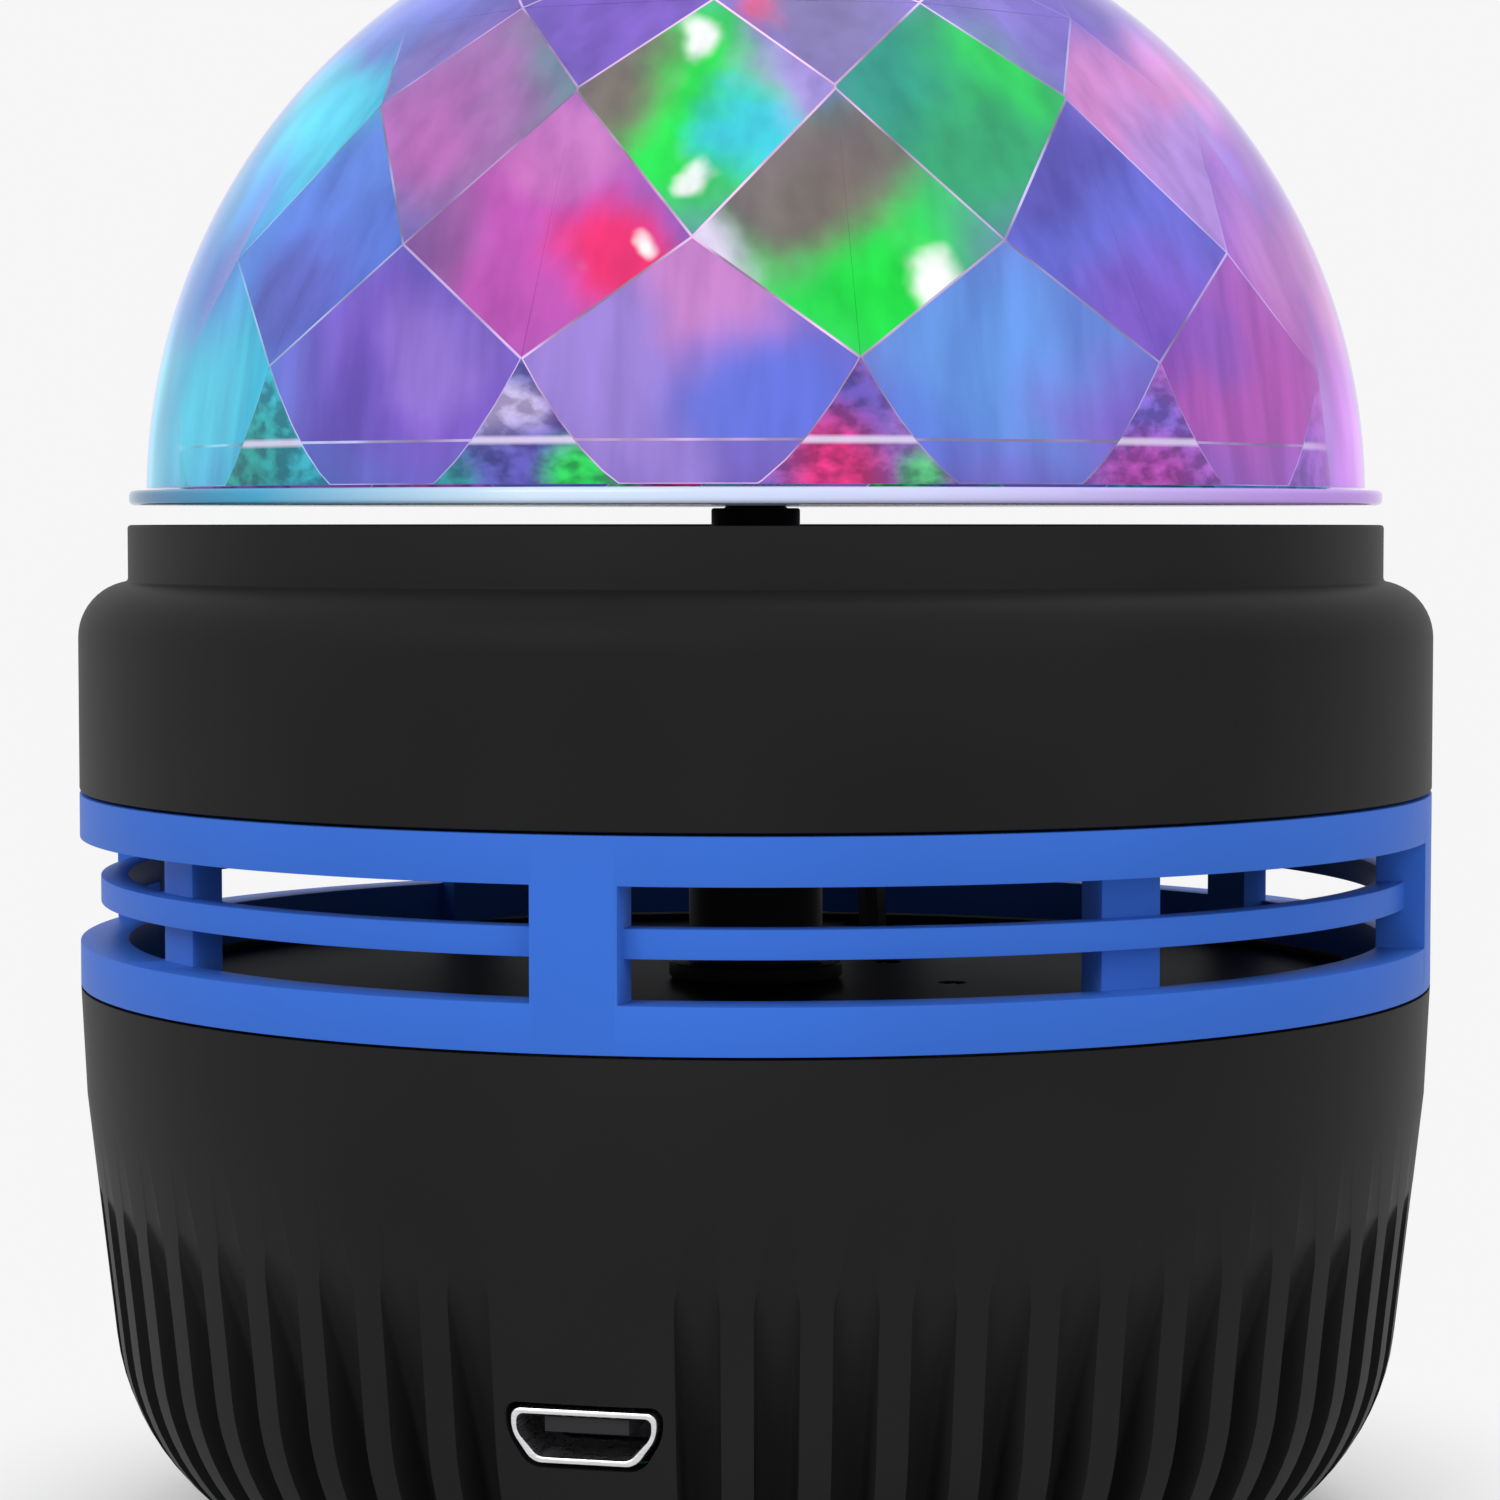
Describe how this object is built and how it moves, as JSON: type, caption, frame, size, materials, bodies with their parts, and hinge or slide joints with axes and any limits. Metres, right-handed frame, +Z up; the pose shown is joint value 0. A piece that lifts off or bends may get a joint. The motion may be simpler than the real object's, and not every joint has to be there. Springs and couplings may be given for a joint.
{
  "type": "rotating dome projector lamp",
  "caption": "Small table lamp whose clear faceted dome turns over coloured lights on a black body with a blue open vent ring, flutes round its foot and a socket in front.",
  "frame": {"origin": "on the table under the middle of the lamp", "axes": "+Z up along the dome's axis, -Y towards the power socket, +Y towards the button at the back"},
  "size_m": [0.08, 0.08, 0.0971],
  "materials": {
    "black_plastic": "satin",
    "blue_plastic": "satin",
    "clear_plastic": "clear and polished",
    "lens_red": "clear and polished",
    "lens_green": "clear and polished",
    "lens_blue": "clear and polished",
    "light_body": "gloss",
    "board_white": "satin",
    "board_green": "satin",
    "chip_black": "matte",
    "capacitor_can": "satin",
    "cable_sleeve": "matte",
    "nylon": "matte",
    "steel": "satin",
    "bush_brass": "satin",
    "foot_rubber": "matte"
  },
  "bodies": {
    "base": {"lower_housing": "black_plastic", "base_cover": "black_plastic", "rubber_foot_1": "foot_rubber", "rubber_foot_2": "foot_rubber", "rubber_foot_3": "foot_rubber", "rubber_foot_4": "foot_rubber", "cover_screw_1": "steel", "cover_screw_2": "steel", "cover_screw_3": "steel", "main_board": "board_green", "usb_shell": "steel", "usb_tongue": "chip_black", "driver_chip": "chip_black", "capacitor": "capacitor_can", "switch_body": "steel", "chassis_plate": "black_plastic", "gearbox_plate": "steel", "gearbox_screw_1": "steel", "gearbox_screw_2": "steel", "gearbox_screw_3": "steel", "idler_pin_1": "steel", "idler_pin_2": "steel", "motor_can": "steel", "motor_end_cap": "nylon", "vent_ring": "blue_plastic", "centre_tube": "black_plastic", "shaft_bush": "bush_brass", "upper_housing": "black_plastic", "led_board": "board_white", "board_screw_1": "steel", "board_screw_2": "steel", "board_screw_3": "steel", "led_1": "light_body", "led_2": "light_body", "led_3": "light_body", "led_4": "light_body", "led_5": "light_body", "led_6": "light_body", "led_lens_1": "lens_red", "led_lens_2": "lens_green", "led_lens_3": "lens_blue", "led_lens_4": "lens_red", "led_lens_5": "lens_green", "led_lens_6": "lens_blue", "lamp_deck": "black_plastic", "led_cable": "cable_sleeve"},
    "dome": {"dome_shell": "clear_plastic", "dome_base": "clear_plastic", "dome_hub": "black_plastic", "hub_screw": "steel", "drive_shaft": "steel", "output_gear": "nylon"},
    "idler_1": {"idler_gear_1": "nylon"},
    "idler_2": {"idler_gear_2": "nylon"},
    "motor_rotor": {"motor_pinion": "bush_brass"},
    "button": {"mode_button": "black_plastic"}
  },
  "joints": [
    {"name": "dome_spin", "type": "hinge", "parent": "base", "child": "dome", "pos_m": [0, 0, 0], "axis": [0, 0, 1], "continuous": true},
    {"name": "idler_2_spin", "type": "hinge", "parent": "base", "child": "idler_2", "pos_m": [0.012, 0, 0], "axis": [0, 0, 1], "continuous": true},
    {"name": "idler_1_spin", "type": "hinge", "parent": "base", "child": "idler_1", "pos_m": [0.006, 0.01039, 0], "axis": [0, 0, 1], "continuous": true},
    {"name": "motor_spin", "type": "hinge", "parent": "base", "child": "motor_rotor", "pos_m": [-0.006, 0.01039, 0], "axis": [0, 0, 1], "continuous": true},
    {"name": "button_press", "type": "slide", "parent": "base", "child": "button", "axis": [0, -1, 0], "range_m": [0, 0.0003], "stiffness_N_per_m": 150}
  ],
  "couplings": [
    {"joint": "idler_2_spin", "follows": "dome_spin", "ratio": -3},
    {"joint": "idler_1_spin", "follows": "dome_spin", "ratio": 9},
    {"joint": "motor_spin", "follows": "dome_spin", "ratio": -27}
  ]
}
